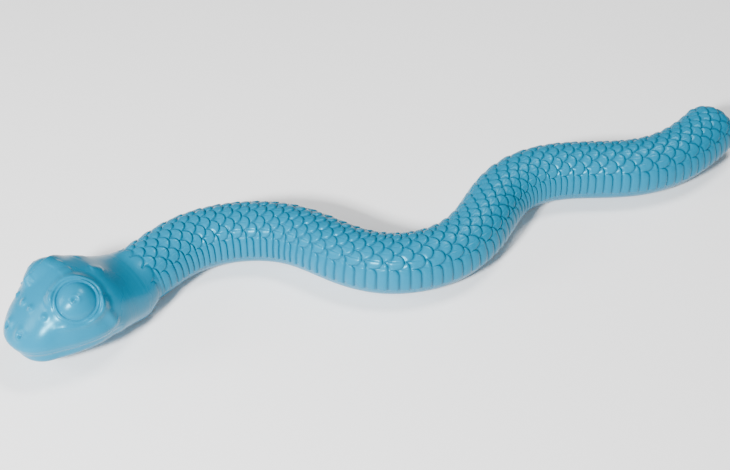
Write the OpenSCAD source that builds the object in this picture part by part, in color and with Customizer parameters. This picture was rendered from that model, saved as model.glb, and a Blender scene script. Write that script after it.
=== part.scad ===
// Flexible snake toy: one soft rubber moulding lying in an S curve on its flat belly.
// The moulding is divided into short stiff sections so that its bending can be stated
// as joints. Each section has a ball-shaped front that sits in the hollow of the one
// ahead of it, so the outline stays closed whichever way the body is bent.
// Units are millimetres. +Z is up, the belly is on Z = 0 and the head points to -X.

/* [Body] */
// Width of the round body
body_d = 33; // [26:0.5:40]
// Height of the middle of the body above the surface the belly lies on
axis_h = 14.5; // [12:0.25:16]
// Length of one row of scales along the body
row_l = 4.6; // [3.6:0.1:5.6]
// Rows of scales on one body section
rows = 4; // [3:1:5]

/* [Moulded curve] */
// Direction of the body where the neck meets the first section, in degrees from +X
start_turn = 32; // [20:1:45]
// Turn of each section in the moulded shape, head to tail, in degrees
bends = [-13, -20, -15, -15, -21, -3, 16, 22, 19, 22, 16,
    3, -18, -22, -19, -6, 7, 17, 15];
// Turn of the straight tail against the end of the last section, in degrees
tail_turn = 7; // [0:1:12]
// Rows of scales on the tail, ahead of its round tip
tail_rows = 5.6; // [3:0.1:8]
// Where the first section starts, measured along X from the middle of the toy
start_x = -133.2; // [-180:0.1:-80]
// Where the first section starts, measured along Y from the middle of the toy
start_y = 20; // [-60:0.1:60]

/* [Ball fronts] */
// Ball radius as a share of the body radius
ball_share = 1.12; // [1.06:0.01:1.25]
// Space between a ball front and the hollow around it
gap = 0.35; // [0.3:0.05:0.6]

/* [Head and neck] */
// Length of the smooth neck
neck_l = 29; // [20:0.5:36]
// Radius of the neck where it meets the head
neck_r = 20; // [17:0.25:22]
// Turn of the neck against the first section, in degrees
neck_turn = -6; // [-20:1:10]
// Turn of the head against the neck, in degrees
head_turn = -6; // [-30:1:10]
// How far the head leans over to its right, in degrees
head_lean = 8; // [0:1:15]
// Height of the head's middle above the body's middle
head_lift = 5; // [0:0.5:8]
// Distance from the head's joint to the tip of the snout
head_l = 58.8; // [54:0.2:70]
// Radius of each domed eye
eye_r = 10; // [8:0.25:12]
// Distance of each eye's middle from the middle of the head
eye_y = 16; // [12:0.25:20]

/* [Hidden] */
body_r = body_d / 2;
ball_r = body_r * ball_share;
neck_ball_r = neck_r * ball_share;
section_l = row_l * rows;
tail_l = row_l * tail_rows;
// The tip's ball is a little inside the body's outline
tip_r = body_r - 0.3;
sections = len(bends);
skin = [0.20, 0.62, 0.74];

// Straight distance between the ends of section i
function chord(i) = abs(bends[i]) < 0.5 ? section_l
    : section_l * sin(bends[i] / 2) / (bends[i] / 2 * PI / 180);
// Point where section i ends, seen from its start
function far_end(i) = chord(i) * [cos(bends[i] / 2), sin(bends[i] / 2), 0];
// Direction in which section i starts, counted from 0
function turn(i) = i == 0 ? start_turn : turn(i - 1) + bends[i - 1];
// Point where section i starts, which is also the centre of its ball front
function place(i) = i == 0 ? [start_x, start_y, axis_h]
    : place(i - 1) + chord(i - 1)
    * [cos(turn(i - 1) + bends[i - 1] / 2), sin(turn(i - 1) + bends[i - 1] / 2), 0];
// The neck and the head are straight and are set ahead of section 0
neck_dir = start_turn + neck_turn;
head_dir = neck_dir + head_turn;
head_place = place(0) - neck_l * [cos(neck_dir), sin(neck_dir), 0];

// Keeps only what is above the flat belly
module above_belly() {
    intersection() {
        children();
        translate([-100, -60, -axis_h]) cube([200, 120, 100]);
    }
}

// Outline of the body across its length: a circle with a flat at the bottom
module outline() {
    intersection() {
        circle(r = body_r, $fn = 96);
        translate([-40, -axis_h]) square([80, 80]);
    }
}

// Body from x = 0 over one section length, turning to the left by b degrees
module left_bar(b) {
    if (b < 0.5) {
        rotate([90, 0, 90]) linear_extrude(section_l) outline();
    } else {
        radius = section_l / (b * PI / 180);
        translate([0, radius, 0]) rotate([0, 0, -90])
            rotate_extrude(angle = b, $fn = 96) translate([radius, 0]) outline();
    }
}

module bar(i) {
    if (bends[i] < 0) mirror([0, 1, 0]) left_bar(-bends[i]);
    else left_bar(bends[i]);
}

// Front of a section: the part of a ball that is inside the body's outline
module ball_front() {
    intersection() {
        sphere(r = ball_r, $fn = 96);
        translate([-40, 0, 0]) rotate([90, 0, 90]) linear_extrude(40) outline();
    }
}

// The hollow that takes the ball front of the section behind
module hollow(r) {
    sphere(r = r + gap, $fn = 96);
}

module section(i) {
    color(skin) translate(place(i)) rotate([0, 0, turn(i)]) difference() {
        union() {
            ball_front();
            bar(i);
        }
        translate(far_end(i)) hollow(ball_r);
    }
}

// Half of the tail's outline along its length: ball front, round body, blunt round tip
module tail_half() {
    intersection() {
        union() {
            intersection() {
                circle(r = ball_r, $fn = 96);
                translate([0, -40]) square([body_r, 40]);
            }
            square([body_r, tail_l]);
            translate([0, tail_l]) circle(r = tip_r, $fn = 96);
        }
        translate([0, -40]) square([40, 120]);
    }
}

module tail() {
    color(skin) translate(place(sections)) rotate([0, 0, turn(sections) + tail_turn])
        above_belly() rotate([0, 90, 0]) rotate_extrude($fn = 96) tail_half();
}

// Smooth neck, tapering from the head to the body
module neck() {
    color(skin) translate(head_place) rotate([0, 0, neck_dir]) above_belly() difference() {
        intersection() {
            rotate([0, 90, 0]) translate([0, 0, -30])
                cylinder(h = neck_l + 30, r1 = neck_r + 5, r2 = body_r, $fn = 96);
            union() {
                sphere(r = neck_ball_r, $fn = 96);
                rotate([0, 90, 0]) cylinder(h = neck_l, r = 30, $fn = 96);
            }
        }
        translate([neck_l, 0, 0]) hollow(ball_r);
    }
}

// A pair of balls, one on each side of the head
module ball_pair(x, y, z, r) {
    for (side = [-1, 1]) translate([x, side * y, z]) sphere(r = r, $fn = 30);
}

module skull() {
    hull() {
        ball_pair(-2, 5, 2, 18);
        ball_pair(-13, 13, 1, 14);
        ball_pair(-23, 14, 1, 14);
        ball_pair(-23, 11, 14.5, 12);
        ball_pair(-34, 11, 10.5, 12);
        ball_pair(-47, 8, 3, 11);
        ball_pair(12 - head_l, 7, 0, 11.5);
    }
}

module lower_jaw() {
    hull() {
        ball_pair(-14, 10, -3, 11.5);
        ball_pair(12.5 - head_l, 6, -3, 9.5);
    }
}

// Domed eye with a raised lid around it, facing up, outwards and forwards
module eye() {
    translate([-24, -eye_y, 12.5]) rotate([0, -24, 0]) rotate([37, 0, 0]) {
        translate([0, 0, -1.5]) sphere(r = eye_r, $fn = 48);
        rotate_extrude($fn = 48) translate([eye_r + 1.8, 4.5]) circle(r = 2.2, $fn = 24);
        cylinder(h = 5.5, r = eye_r, $fn = 48);
    }
}

module head() {
    color(skin) translate(head_place) rotate([0, 0, head_dir]) above_belly() difference() {
        intersection() {
            translate([0, 0, head_lift]) rotate([-head_lean, 0, 0]) {
                skull();
                lower_jaw();
                eye();
                mirror([0, 1, 0]) eye();
            }
            translate([-100, -50, -50]) cube([95, 100, 100]);
        }
        hollow(neck_ball_r);
        translate([0, 0, head_lift]) rotate([-head_lean, 0, 0]) ball_pair(3 - head_l, 6, 6.6, 1.6);
    }
}

head();
neck();
for (i = [1:sections]) section(i - 1);
tail();
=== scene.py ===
# Soft moulded snake toy: one continuous scaled skin, cut into lengths that bend across the joints.
# Lengths are in millimetres and angles in degrees until the meshes are made, which are in metres.
# u is the distance along the middle line, tailwards from the start of the first body section.
import math

import bpy
import numpy as np
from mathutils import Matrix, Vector


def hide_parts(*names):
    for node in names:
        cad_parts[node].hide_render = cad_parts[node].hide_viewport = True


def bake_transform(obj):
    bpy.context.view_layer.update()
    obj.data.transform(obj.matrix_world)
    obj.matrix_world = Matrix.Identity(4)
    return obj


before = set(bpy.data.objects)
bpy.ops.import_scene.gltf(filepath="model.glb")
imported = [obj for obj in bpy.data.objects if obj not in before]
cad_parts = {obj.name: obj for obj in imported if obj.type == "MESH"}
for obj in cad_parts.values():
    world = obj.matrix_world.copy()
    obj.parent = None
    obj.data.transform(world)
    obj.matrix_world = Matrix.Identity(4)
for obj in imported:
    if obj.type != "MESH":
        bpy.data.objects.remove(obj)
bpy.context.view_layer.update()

# ---------------------------------------------------------------- driving sizes
AXIS_H = 14.5  # middle of the body above the floor
BODY_R = 15.7  # body radius under the scales
ROW = 4.6  # half the pitch of the scales along the body
ROWS = 4  # rows on one body section
SECTION = ROWS * ROW
ROW_ANGLE = 14.5  # angle between neighbouring rows of scales
START = (-133.2, 20.0)
START_TURN = 32.0  # direction of the first section, from the row frame's +X
# turn of each body section, head to tail
BENDS = [-13, -20, -15, -15, -21, -3, 16, 22, 19, 22, 16, 3, -18, -22, -19, -6, 7, 17, 15]
TAIL_L, TAIL_BEND = 25.8, 13.0  # the tail ahead of its round tip
NECK_L = 29.0
HEAD_L = 59.2
NECK_DIR, HEAD_DIR = 26.0, 20.0
HEAD_ROLL, HEAD_LIFT = 8.0, 5.0  # the head leans over a little and its middle is higher than the body's
SECTIONS_L = SECTION * len(BENDS)
BODY_L = SECTIONS_L + TAIL_L
NAMES = ["head", "neck"] + [f"body_{i:02d}" for i in range(1, 20)] + ["tail"]

# ---------------------------------------------------------------- middle line
STEP = 0.1
SPARE = 20  # how far the line goes on past both ends
FRONT = -NECK_L - HEAD_L - SPARE
us = np.arange(round(FRONT / STEP), round((BODY_L + SPARE) / STEP) + 1) * STEP
turn = np.empty_like(us)
for i, u in enumerate(us):
    if u < -NECK_L:
        turn[i] = HEAD_DIR
    elif u < 0:
        turn[i] = NECK_DIR
    elif u < SECTIONS_L:
        k = int(u // SECTION)
        turn[i] = START_TURN + sum(BENDS[:k]) + BENDS[k] * (u - k * SECTION) / SECTION
    else:
        share = min((u - SECTIONS_L) / TAIL_L, 1.0)
        turn[i] = START_TURN + sum(BENDS) + TAIL_BEND * share
rad = np.radians(turn)
cx = np.concatenate([[0], np.cumsum((np.cos(rad[1:]) + np.cos(rad[:-1])) / 2 * STEP)])
cy = np.concatenate([[0], np.cumsum((np.sin(rad[1:]) + np.sin(rad[:-1])) / 2 * STEP)])
zero = int(np.argmin(np.abs(us)))
cx += START[0] - cx[zero]
cy += START[1] - cy[zero]


def averaged(a, half_width):
    """Running mean with a half width that may change along the line."""
    total = np.concatenate([[0], np.cumsum(a)])
    i = np.arange(len(a))
    n = np.minimum((half_width / STEP).astype(int), np.minimum(i, i[::-1]))
    return (total[i + n + 1] - total[i - n]) / (2 * n + 1)


def smooth01(x):
    x = np.clip(x, 0, 1)
    return x * x * (3 - 2 * x)


# the corners are rounded off, most of all where the neck meets the head
window = 6 + 10 * (1 - smooth01(np.abs(us + NECK_L - 3) / 30))
for _ in range(2):
    cx, cy = averaged(cx, window), averaged(cy, window)
tx, ty = np.gradient(cx), np.gradient(cy)
size = np.hypot(tx, ty)
tx, ty = tx / size, ty / size


def middle(u):
    """Point on the middle line and the tailward direction there."""
    u = np.asarray(u, float)
    return [np.interp(u, us, a) for a in (cx, cy, tx, ty)]


# ---------------------------------------------------------------- relief of scales and ribs
SCALE_H, RIB_H = 1.25, 1.15
RIB_ROW = 4  # rows of scales from the top down to the ribs
NO_EDGE = 9.0  # stands for an edge too far off to matter
FIRST = -2  # the scales before this one are covered by the smooth neck


def free_edge(w, rib):
    """Where a scale's or a rib's free rear edge is, in rows behind its middle, at w row angles off it."""
    a = np.clip(np.abs(w), 0, 1)
    scale = np.sqrt(np.maximum(1 - a**2.1, 0))
    top = 0.5 * np.sqrt(np.maximum(1 - np.clip(-w, 0, 1) ** 3, 0))
    return np.where(rib, top, scale)


def relief(u, deg):
    """Height of the moulded pattern, and an amount of painted shade that is strongest next to each fold
    between scales. deg is measured from the top.
    """
    a = np.abs(deg)
    rows = a / ROW_ANGLE
    x = u / ROW
    side = smooth01((a - 46) / 16)
    height = np.zeros_like(u)
    gap = np.full_like(u, NO_EDGE)
    neck = 0.95 * smooth01((u + 20) / 11)
    for back in (2, 1, 0, -1):
        m = np.floor(x) + back
        lower = np.floor(rows)
        odd = np.mod(m + lower, 2)
        last = 5 - np.mod(m + 5, 2)
        j = np.minimum(lower + odd, last)
        j = np.where(rows > 5, last, j)
        w = rows - j
        rib = j >= RIB_ROW
        e = free_edge(w, rib)
        e2 = free_edge(w + 0.02, rib)
        slope = np.clip((e2 - e) / (0.02 * ROW_ANGLE) * ROW / (BODY_R * math.pi / 180), -6, 6)
        t = e - (x - m)
        inside = t * ROW / np.sqrt(1 + slope**2)
        fall = (1 - side) * 0.44 + side * 0.52
        edge = (1 - side) * 1.15 + side * 0.95
        tall = (1 - side) * SCALE_H + side * RIB_H
        layer = tall * (1 - fall * t) + 0.5 * (1 - side) * (1 - np.clip(np.abs(w), 0, 1) ** 2)
        layer = np.where(m < FIRST, neck, np.maximum(layer, 0))
        cover = np.sqrt(1 - (1 - np.clip(inside / edge, 0, 1)) ** 2)
        height = height * (1 - cover) + layer * cover
        # distance behind the nearest edge that lies over this point
        missing = m < FIRST - 1
        over = np.where(missing, NO_EDGE, inside + 0.35)
        behind = np.minimum(gap, -inside + NO_EDGE * missing)
        gap = np.where(inside > 0, over, behind)
    fade = 1 - smooth01((a - 103) / 5)
    faint = 1 - 0.65 * side * (1 - smooth01((u + 12) / 22))
    starts = smooth01((u + 15) / 2)
    # painted shade: a darkening amount along the folds between scales, where real shade falls
    painted_fold_shade = np.exp(-((gap / 0.55) ** 2)) * starts * faint
    height = height - 0.5 * np.exp(-((gap / 1.0) ** 2)) * starts * faint
    return np.maximum(height, 0.05) * fade + 0.05 * (1 - fade), painted_fold_shade * fade


# ---------------------------------------------------------------- head outline
def curve(points, x):
    """Smooth curve through (x, value) pairs."""
    px, py = np.array(points, float).T
    d = np.gradient(py, px)
    i = np.clip(np.searchsorted(px, x) - 1, 0, len(px) - 2)
    h = px[i + 1] - px[i]
    t = np.clip((x - px[i]) / h, 0, 1)
    return (
        (2 * t**3 - 3 * t**2 + 1) * py[i]
        + (t**3 - 2 * t**2 + t) * h * d[i]
        + (-2 * t**3 + 3 * t**2) * py[i + 1]
        + (t**3 - t**2) * h * d[i + 1]
    )


# distance ahead of the head's joint, then half width, height above and depth below the middle
HALF_W = [
    (-20, 15.7), (-12, 19.6), (0, 22.9), (12, 26.8), (22, 28.2),
    (34, 25.4), (48, 19.2), (56, 17.2), (62, 16.5),
]
ABOVE = [
    (-20, 15.7), (-10, 16.8), (0, 18.8), (12, 24.0), (24, 27.0),
    (34, 23.2), (48, 14.2), (56, 8.9), (62, 7),
]
BELOW = [(-20, 15.7), (-12, 18.6), (0, 18.2), (14, 15.2), (30, 14.7), (46, 14.4), (54, 14), (62, 13.5)]
SQUARE = [(-20, 2.0), (0, 2.2), (14, 2.4), (30, 2.4), (62, 2.4)]
NOSE = 14.2  # length over which the snout rounds off


def outline(x, phi):
    """Cross outline at x ahead of the head's joint: side (left positive) and up from the middle."""
    n = curve(SQUARE, x)
    s, c = np.sin(phi), np.cos(phi)
    close = np.sqrt(np.maximum(1 - (np.clip(x - (HEAD_L - NOSE), 0, NOSE) / NOSE) ** 2.3, 0))
    y = curve(HALF_W, x) * close * np.sign(s) * np.abs(s) ** (2 / n)
    up = curve(ABOVE, x)
    down = curve(BELOW, x)
    tip = -0.3 * smooth01((x - 30) / 32)
    z = np.where(c > 0, (up - tip) * close, (down + tip) * close) * np.sign(c) * np.abs(c) ** (2 / n) + tip
    return y, z


def bump(p, centre, radius, height):
    """Rounded bump on a surface near a point."""
    d = np.sqrt(((p - np.array(centre)) ** 2).sum(-1))
    return height * np.exp(-((d / radius) ** 2) * 1.4)


EYE = (27.9, 20.3, 19.8)
EYE_AXIS = np.array([0.42, 0.54, 0.73])
EYE_AXIS = EYE_AXIS / np.linalg.norm(EYE_AXIS)


def ridge(p, points, width, height):
    """Rounded ridge along a line through a few points, fading out at both ends."""
    points = np.array(points, float)
    best, along = np.full(len(p), 1e9), np.zeros(len(p))
    for i, (a, b) in enumerate(zip(points[:-1], points[1:])):
        t = np.clip(((p - a) @ (b - a)) / ((b - a) @ (b - a)), 0, 1)
        d = np.linalg.norm(p - a - t[:, None] * (b - a), axis=1)
        along = np.where(d < best, (i + t) / (len(points) - 1), along)
        best = np.minimum(d, best)
    ends = smooth01(along / 0.2) * smooth01((1 - along) / 0.2)
    return height * np.exp(-((best / width) ** 2)) * (0.25 + 0.75 * ends)


# points ahead, beside and above the head's middle, then width and height
RIDGES = (
    # under the eye
    ([(42, 20.3, 9.8), (36, 23.4, 9.2), (29.1, 26.4, 8.6), (20.6, 27.4, 10.1), (15.5, 25.5, 14)], 1.4, 0.65),
    # from the eye down to the corner of the mouth
    ([(15.5, 22, 18.5), (16.6, 24.8, 15), (16.9, 27.1, 9.7), (14.8, 27.8, 3.5), (12, 26.5, 0)], 2.6, 1.2),
    # crown, back of the head and brow
    ([(26, 4.4, 26.8), (19, 5.0, 26.4)], 3.0, 0.55),
    ([(11, 7.2, 23.2), (4, 8.8, 20.2)], 3.0, 0.5),
    ([(39, 7.5, 19.6), (36, 9.5, 20.8), (33, 8.5, 22.6)], 2.3, 0.55),
)
# middle, radius and height
BUMPS = (
    # nostril: a raised rim with a hole in it
    ((54.6, 5.9, 6.6), 3.7, 1.7),
    ((55.0, 6.0, 6.6), 2.0, -2.5),
    # warts
    ((43.1, 13.4, 14.9), 1.9, 1.0),
    ((44.8, 3.6, 16.2), 2.0, 1.1),
)


def head_features(p, normal):
    """Moves points of the plain head so that it gets eyes, brows, nostrils, a mouth and bumps."""
    x, z = p[:, 0], p[:, 2]
    q = p.copy()
    q[:, 1] = np.abs(q[:, 1])
    # mouth line, with the lower jaw set in under a rolled lip
    under = z + 1.5 + 0.7 * smooth01((x - 50) / 8) + 0.6 * smooth01((24 - x) / 12)
    length = smooth01((x - 8) / 8)
    add = -0.45 * np.exp(-((under / 1.2) ** 2)) * length
    add -= 1.7 * smooth01(0.1 - under / 4.0) * (1 - 0.6 * smooth01((-under - 4.0) / 5.0)) * length
    add += 0.30 * np.exp(-(((under - 3.0) / 2.4) ** 2)) * length
    for points, width, height in RIDGES:
        add += ridge(q, points, width, height)
    for centre, radius, height in BUMPS:
        add += bump(q, centre, radius, height)
    p = p + normal * add[:, None]
    # eyes: a broad lid open at the bottom, a thin rim, and a dome with a small dimple
    for side in (1, -1):
        c = np.array(EYE) * (1, side, 1)
        axis = EYE_AXIS * (1, side, 1)
        q = p - c
        along = q @ axis
        flat = q - along[:, None] * axis
        rho = np.linalg.norm(flat, axis=1)
        up = np.array((-0.25, 0, 1.0))
        up -= axis * (up @ axis)
        up /= np.linalg.norm(up)
        ahead = np.cross(axis, up) * side
        high = (flat @ up) / np.maximum(rho, 1e-6)
        front = -(flat @ ahead) / np.maximum(rho, 1e-6)
        out = smooth01((along + 9) / 6)
        open_low = smooth01((high + 0.80 + 0.25 * front) / 0.5)
        lid_r = 12.5 + 0.5 * np.clip(front, 0, 1)
        lid = np.exp(-(((rho - lid_r) / np.where(rho < lid_r, 1.5, 2.7)) ** 2))
        lid *= 0.35 + 2.25 * open_low
        rim = 1.05 * np.exp(-(((rho - 10.4) / 0.6) ** 2))
        rim *= 0.25 + 0.75 * smooth01((high + 0.98) / 0.25)
        moat = -0.5 * np.exp(-(((rho - 9.5) / 0.6) ** 2))
        dome = 2.5 * np.maximum(1 - (rho / 9.9) ** 2, 0) ** 0.75
        dome += -0.75 * np.exp(-((rho / 1.2) ** 2)) + 0.32 * np.exp(-(((rho - 2.2) / 0.8) ** 2))
        p = p + axis * ((lid + rim + moat + dome) * out)[:, None]
    return p


# ---------------------------------------------------------------- the whole skin as one grid
TURNS = 360  # points round each ring
RING_GAP = 0.25
# the skin is cut at the middle of the neck and of every body section
cuts = [-NECK_L / 2] + [SECTION * (k + 0.5) for k in range(len(BENDS))]
edges = [-NECK_L] + cuts + [BODY_L]
SNOUT_RINGS = 14  # length of the snout where the rings get closer together
closer = HEAD_L - SNOUT_RINGS * (1 - np.cos(np.linspace(0, math.pi / 2, 60)))
even = np.linspace(0, HEAD_L - SNOUT_RINGS, 150)
ring_x = np.unique(np.concatenate([closer, even]))
ring_x = ring_x[ring_x < HEAD_L - 1e-3]
u_rings = [-NECK_L - ring_x[::-1]]
for a, b in zip(edges[:-1], edges[1:]):
    n = max(2, int(round((b - a) / RING_GAP)))
    u_rings.append(np.linspace(a, b, n + 1)[1:])
u_body = np.concatenate(u_rings)
theta = np.radians(np.linspace(0, 90, 76)[1:-1])
u_tip = BODY_L + BODY_R * theta
U = np.concatenate([u_body, u_tip])
phi = np.radians(np.arange(TURNS) * 360.0 / TURNS - 180)
UU, PP = np.meshgrid(U, phi, indexing="ij")


def local(UU, PP):
    """Plain cross outline of every ring: side and up from the middle line."""
    x = -NECK_L - UU
    y, z = outline(x, PP)
    round_tip = np.cos(np.clip((UU - BODY_L) / BODY_R, 0, math.pi / 2))
    plain = x <= -20
    y = np.where(plain, BODY_R * round_tip * np.sin(PP), y)
    z = np.where(plain, BODY_R * round_tip * np.cos(PP), z)
    share = smooth01((x + 16) / 26)
    lean = np.radians(HEAD_ROLL) * share
    return y * np.cos(lean) - z * np.sin(lean), y * np.sin(lean) + z * np.cos(lean) + HEAD_LIFT * share


def place(UU, side, up):
    """Row-frame position in millimetres of points beside the middle line."""
    over = np.clip(UU - BODY_L, 0, None)
    px, py, dx, dy = middle(UU - over)
    ahead = BODY_R * np.sin(np.clip(over / BODY_R, 0, math.pi / 2))
    return np.stack([px + dx * ahead + dy * side, py + dy * ahead - dx * side, AXIS_H + up], -1)


def grid_normals(P):
    """Unit normals of the grid, pointing out of the body."""
    du = np.gradient(P, axis=0)
    dp = (np.roll(P, -1, 1) - np.roll(P, 1, 1)) / 2
    n = np.cross(dp, du)
    n = n / np.maximum(np.linalg.norm(n, axis=2, keepdims=True), 1e-9)
    outwards = (n * (P - P.mean(axis=1, keepdims=True))).sum()
    return -n if outwards < 0 else n


def belly(P, k=0.5):
    """Presses everything below the floor up into a flat belly with a rounded edge."""
    z = P[..., 2] / k
    P[..., 2] = k * np.where(z > 20, z, np.log1p(np.exp(np.clip(z, -60, 20))))
    return P


side, up = local(UU, PP)
P = place(UU, side, up)
N = grid_normals(P)
h, painted_fold_shade = relief(UU, np.degrees(PP))
over_tip = (UU - BODY_L) / BODY_R
h *= np.where(UU > BODY_L, 1 - 0.9 * smooth01(over_tip / 1.35), 1)
h *= UU > -21
# the painted fold shade fades out over the round tail tip
painted_fold_shade *= 1 - smooth01(over_tip / 1.1)
P = P + N * h[..., None]

# the head's own features are made in its own axes: ahead, left, up
pivot = place(np.array([-NECK_L]), np.array([0.0]), np.array([HEAD_LIFT]))[0]
head_turn = math.radians(HEAD_DIR)
hx = np.array([-math.cos(head_turn), -math.sin(head_turn), 0])
hy = np.array([math.sin(head_turn), -math.cos(head_turn), 0])
hz = np.array([0, 0, 1.0])
lean = math.radians(HEAD_ROLL)
beside = hy * math.cos(lean) + hz * math.sin(lean)
above = hz * math.cos(lean) - hy * math.sin(lean)
HEAD = np.stack([hx, beside, above])
rows_head = int((U < 2).sum())
Q = (P[:rows_head] - pivot) @ HEAD.T
QN = N[:rows_head] @ HEAD.T
shaped = head_features(Q.reshape(-1, 3), QN.reshape(-1, 3)).reshape(Q.shape)
keep = smooth01((UU[:rows_head] + 6) / 8)[..., None]
P[:rows_head] = (shaped * (1 - keep) + Q * keep) @ HEAD + pivot
P = belly(P)
N = grid_normals(P)

# ---------------------------------------------------------------- finish
def material():
    m = bpy.data.materials.new("soft_turquoise_rubber")
    m.use_nodes = True
    t = m.node_tree
    t.nodes.clear()
    out = t.nodes.new("ShaderNodeOutputMaterial")
    b = t.nodes.new("ShaderNodeBsdfPrincipled")
    t.links.new(b.outputs["BSDF"], out.inputs["Surface"])
    coord = t.nodes.new("ShaderNodeTexCoord")
    # painted shade: this attribute darkens the base colour in the folds between scales
    painted_fold_shade_attr = t.nodes.new("ShaderNodeAttribute")
    painted_fold_shade_attr.attribute_name = "painted_fold_shade_attr"
    cloud = t.nodes.new("ShaderNodeTexNoise")
    cloud.inputs["Scale"].default_value = 24
    cloud.inputs["Detail"].default_value = 4
    t.links.new(coord.outputs["Object"], cloud.inputs["Vector"])
    tint = t.nodes.new("ShaderNodeMix")
    tint.data_type = "RGBA"
    tint.inputs["A"].default_value = (0.000, 0.150, 0.262, 1)
    tint.inputs["B"].default_value = (0.000, 0.172, 0.295, 1)
    t.links.new(cloud.outputs["Fac"], tint.inputs["Factor"])
    # painted shade: mixes a dark blue into the folds between scales
    painted_fold_shade_mix = t.nodes.new("ShaderNodeMix")
    painted_fold_shade_mix.data_type = "RGBA"
    painted_fold_shade_mix.inputs["B"].default_value = (0.000, 0.030, 0.070, 1)
    t.links.new(painted_fold_shade_attr.outputs["Fac"], painted_fold_shade_mix.inputs["Factor"])
    t.links.new(tint.outputs["Result"], painted_fold_shade_mix.inputs["A"])
    t.links.new(painted_fold_shade_mix.outputs["Result"], b.inputs["Base Color"])
    rough = t.nodes.new("ShaderNodeMapRange")
    rough.inputs["To Min"].default_value = 0.23
    rough.inputs["To Max"].default_value = 0.32
    t.links.new(cloud.outputs["Fac"], rough.inputs["Value"])
    t.links.new(rough.outputs["Result"], b.inputs["Roughness"])
    grain = t.nodes.new("ShaderNodeTexNoise")
    grain.inputs["Scale"].default_value = 900
    grain.inputs["Detail"].default_value = 3
    t.links.new(coord.outputs["Object"], grain.inputs["Vector"])
    bumps = t.nodes.new("ShaderNodeBump")
    bumps.inputs["Strength"].default_value = 0.06
    bumps.inputs["Distance"].default_value = 0.0004
    t.links.new(grain.outputs["Fac"], bumps.inputs["Height"])
    t.links.new(bumps.outputs["Normal"], b.inputs["Normal"])
    b.inputs["Subsurface Weight"].default_value = 0.03
    b.inputs["Subsurface Scale"].default_value = 0.004
    b.inputs["Specular IOR Level"].default_value = 0.33
    b.inputs["Specular Tint"].default_value = (0.20, 0.75, 1.0, 1)
    return m


rubber = material()
# painted shade amount for the folds between scales, one value per point
painted_fold_shade_amount = painted_fold_shade * 0.5
TIP_OUT = 0.02  # how far the closing point stands out


def skin_piece(name, i0, i1, close_front, close_back):
    """Rings i0 to i1 as one mesh object, closed by a point at an end of the snake."""
    rows = i1 - i0 + 1
    v = P[i0 : i1 + 1].reshape(-1, 3) / 1000
    nrm = N[i0 : i1 + 1].reshape(-1, 3)
    g = painted_fold_shade_amount[i0 : i1 + 1].reshape(-1)
    r, c = np.meshgrid(np.arange(rows - 1), np.arange(TURNS), indexing="ij")
    c2 = (c + 1) % TURNS
    here, below = r * TURNS, (r + 1) * TURNS
    quads = np.stack([here + c, here + c2, below + c2, below + c], -1).reshape(-1, 4)
    loops = quads.reshape(-1)
    starts = np.arange(len(quads)) * 4
    extra_v, extra_n = [], []
    tris = []
    for wanted, row, end in ((close_front, 0, i0), (close_back, rows - 1, i1)):
        if not wanted:
            continue
        k = len(v) + len(extra_v)
        ring = P[end]
        inner = P[end + 1] if row == 0 else P[end - 1]
        d = ring.mean(axis=0) - inner.mean(axis=0)
        outward = d / max(np.linalg.norm(d), 1e-9)
        extra_v.append((ring.mean(axis=0) + outward * TIP_OUT) / 1000)
        extra_n.append(outward)
        for j in range(TURNS):
            a, b = row * TURNS + j, row * TURNS + (j + 1) % TURNS
            tris.append((k, b, a) if row == 0 else (k, a, b))
    if extra_v:
        v = np.concatenate([v, np.array(extra_v)])
        nrm = np.concatenate([nrm, np.array(extra_n)])
        g = np.concatenate([g, np.zeros(len(extra_v))])
        tris = np.array(tris)
        starts = np.concatenate([starts, len(loops) + np.arange(len(tris)) * 3])
        loops = np.concatenate([loops, tris.reshape(-1)])
    me = bpy.data.meshes.new(name)
    me.vertices.add(len(v))
    me.vertices.foreach_set("co", v.astype(np.float32).reshape(-1))
    me.loops.add(len(loops))
    me.loops.foreach_set("vertex_index", loops.astype(np.int32))
    me.polygons.add(len(starts))
    me.polygons.foreach_set("loop_start", starts.astype(np.int32))
    me.update(calc_edges=True)
    me.validate()
    me.polygons.foreach_set("use_smooth", np.ones(len(me.polygons), bool))
    # the painted fold shade is stored as a point attribute
    at = me.attributes.new("painted_fold_shade_attr", "FLOAT", "POINT")
    at.data.foreach_set("value", g.astype(np.float32))
    p0 = me.polygons[len(me.polygons) // 2]
    want = nrm[p0.vertices[0]]
    if p0.normal.dot(Vector(want)) < 0:
        me.flip_normals()
    me.normals_split_custom_set_from_vertices(nrm.astype(np.float32))
    me.materials.append(rubber)
    o = bpy.data.objects.new(name, me)
    bpy.context.scene.collection.objects.link(o)
    return o


def index_of(u):
    """Number of the ring nearest to u."""
    return int(np.argmin(np.abs(U - u)))


limits = [index_of(U[0])] + [index_of(c) for c in cuts] + [len(U) - 1]
titles = ["snake_head", "snake_neck"] + [f"snake_body_{i:02d}" for i in range(1, 19)] + ["snake_tail"]
for k, title in enumerate(titles):
    o = skin_piece(title, limits[k], limits[k + 1], k == 0, k == len(titles) - 1)
    a, b = NAMES[k], NAMES[k + 1]
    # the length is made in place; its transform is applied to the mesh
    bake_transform(o)
    # the last length replaces both of the CAD nodes it crosses
    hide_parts(*([a] if k < len(titles) - 1 else [a, b]))

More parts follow.
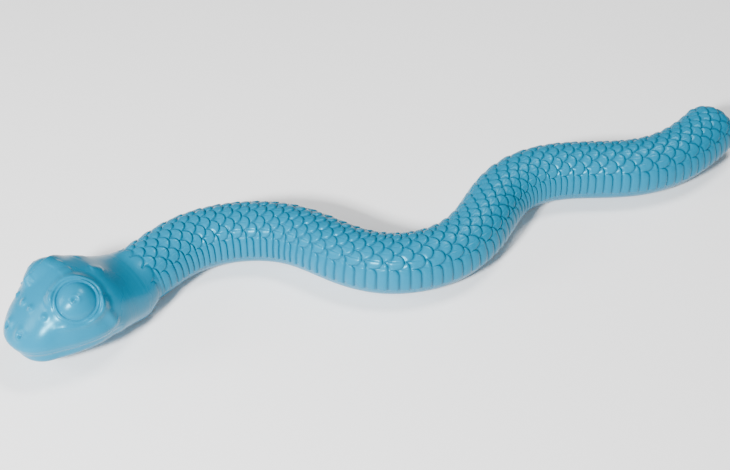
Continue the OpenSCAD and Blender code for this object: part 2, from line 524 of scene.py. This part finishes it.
# ---------------------------------------------------------------- floor, light, camera
bpy.ops.mesh.primitive_plane_add(size=12, location=(0, 0, -0.0001))
floor = bpy.context.object
floor.name = "floor"
fm = bpy.data.materials.new("floor_white")
fm.use_nodes = True
fb = fm.node_tree.nodes["Principled BSDF"]
fb.inputs["Base Color"].default_value = (0.93, 0.93, 0.93, 1)
fb.inputs["Roughness"].default_value = 0.7
fb.inputs["Emission Color"].default_value = (1, 1, 1, 1)
fb.inputs["Emission Strength"].default_value = 0.12
floor.data.materials.append(fm)

world = bpy.context.scene.world or bpy.data.worlds.new("world")
bpy.context.scene.world = world
world.use_nodes = True
bg = world.node_tree.nodes.get("Background") or world.node_tree.nodes.new("ShaderNodeBackground")
bg.inputs["Color"].default_value = (1, 1, 1, 1)
bg.inputs["Strength"].default_value = 0.10


def area(name, where, aim, w, hgt, power):
    d = bpy.data.lights.new(name, "AREA")
    d.shape = "RECTANGLE"
    d.size, d.size_y, d.energy = w, hgt, power
    o = bpy.data.objects.new(name, d)
    o.location = where
    o.rotation_mode = "QUATERNION"
    o.rotation_quaternion = (Vector(aim) - Vector(where)).to_track_quat("-Z", "Y")
    bpy.context.scene.collection.objects.link(o)


area("key_light", (-0.95, -0.72, 0.80), (-0.03, 0, 0), 0.20, 0.16, 52)
area("top_light", (0.25, 0.10, 0.9), (0, 0, 0), 0.3, 0.2, 6)
area("side_light", (-0.9, 0.15, 0.45), (-0.1, 0, 0), 0.3, 0.3, 4)

cam_data = bpy.data.cameras.new("camera")
cam = bpy.data.objects.new("camera", cam_data)
bpy.context.scene.collection.objects.link(cam)
bpy.context.scene.camera = cam
BODY_D_M = 0.033
ELEV, AZIM, FOCAL_PX, DIST_M = 42.0, -22.2, 1370.0, 22.6 * BODY_D_M
PICTURE_PX = 730
cam_data.sensor_width = 36
cam_data.lens = FOCAL_PX * cam_data.sensor_width / PICTURE_PX
e, a = math.radians(ELEV), math.radians(AZIM)
back = Vector((math.sin(a) * math.cos(e), -math.cos(a) * math.cos(e), math.sin(e)))
right = Vector((math.cos(a), math.sin(a), 0))
fwd = Vector((-math.sin(a), math.cos(a), 0))
neck_end = Vector((START[0], START[1], AXIS_H)) / 1000
aim = neck_end + right * (3.406 * BODY_D_M) + fwd * (0.768 * BODY_D_M)
cam.location = aim + back * DIST_M
cam.rotation_mode = "QUATERNION"
cam.rotation_quaternion = (-back).to_track_quat("-Z", "Y")
cam_data.clip_start, cam_data.clip_end = 0.01, 20
